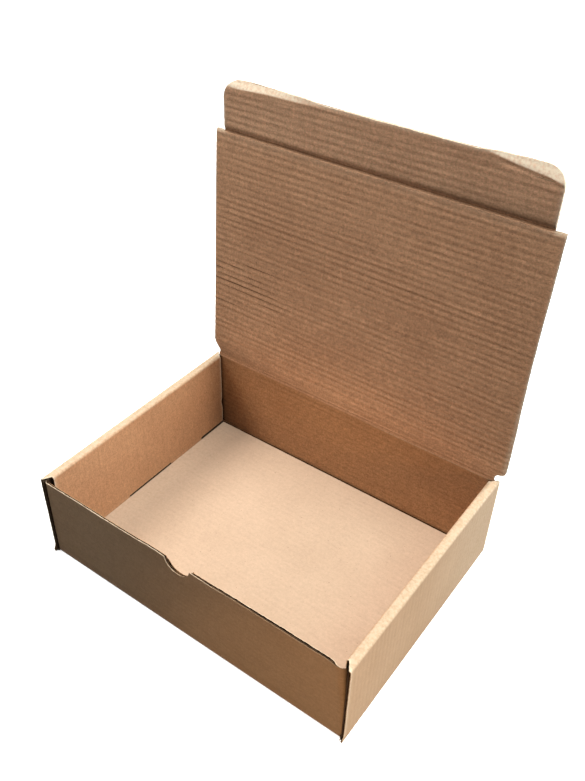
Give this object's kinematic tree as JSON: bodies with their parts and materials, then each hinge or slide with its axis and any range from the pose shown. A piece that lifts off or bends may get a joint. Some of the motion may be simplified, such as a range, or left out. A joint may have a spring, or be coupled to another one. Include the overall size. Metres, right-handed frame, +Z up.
{
  "type": "corrugated mailer box",
  "caption": "Open die-cut corrugated mailer box: rolled side walls locked in base slots, thumb notch, hinged lid with a rounded tuck flap.",
  "frame": {"origin": "on the surface the box stands on, under the middle of its base", "axes": "+Z up, +Y from the front wall to the back wall that carries the lid, +X to the right along the front wall"},
  "size_m": [0.332, 0.2618, 0.3809],
  "materials": {
    "kraft_board": "uncoated brown kraft liner, matte",
    "kraft_board_lid": "uncoated brown kraft liner, matte",
    "kraft_board_flap": "uncoated brown kraft liner, matte"
  },
  "bodies": {
    "box": {"tray": "kraft_board"},
    "lid": {"lid_panel": "kraft_board_lid"},
    "flap": {"tuck_flap": "kraft_board_flap"}
  },
  "joints": [
    {"name": "lid_hinge", "type": "hinge", "parent": "box", "child": "lid", "pos_m": [0, 0.1211, 0.0958], "axis": [1, 0, 0], "range_deg": [-104, 93.8]},
    {"name": "flap_fold", "type": "hinge", "parent": "lid", "child": "flap", "pos_m": [0, 0.13695, 0.33437], "axis": [1, 0, 0], "range_deg": [-10, 86.1]}
  ]
}
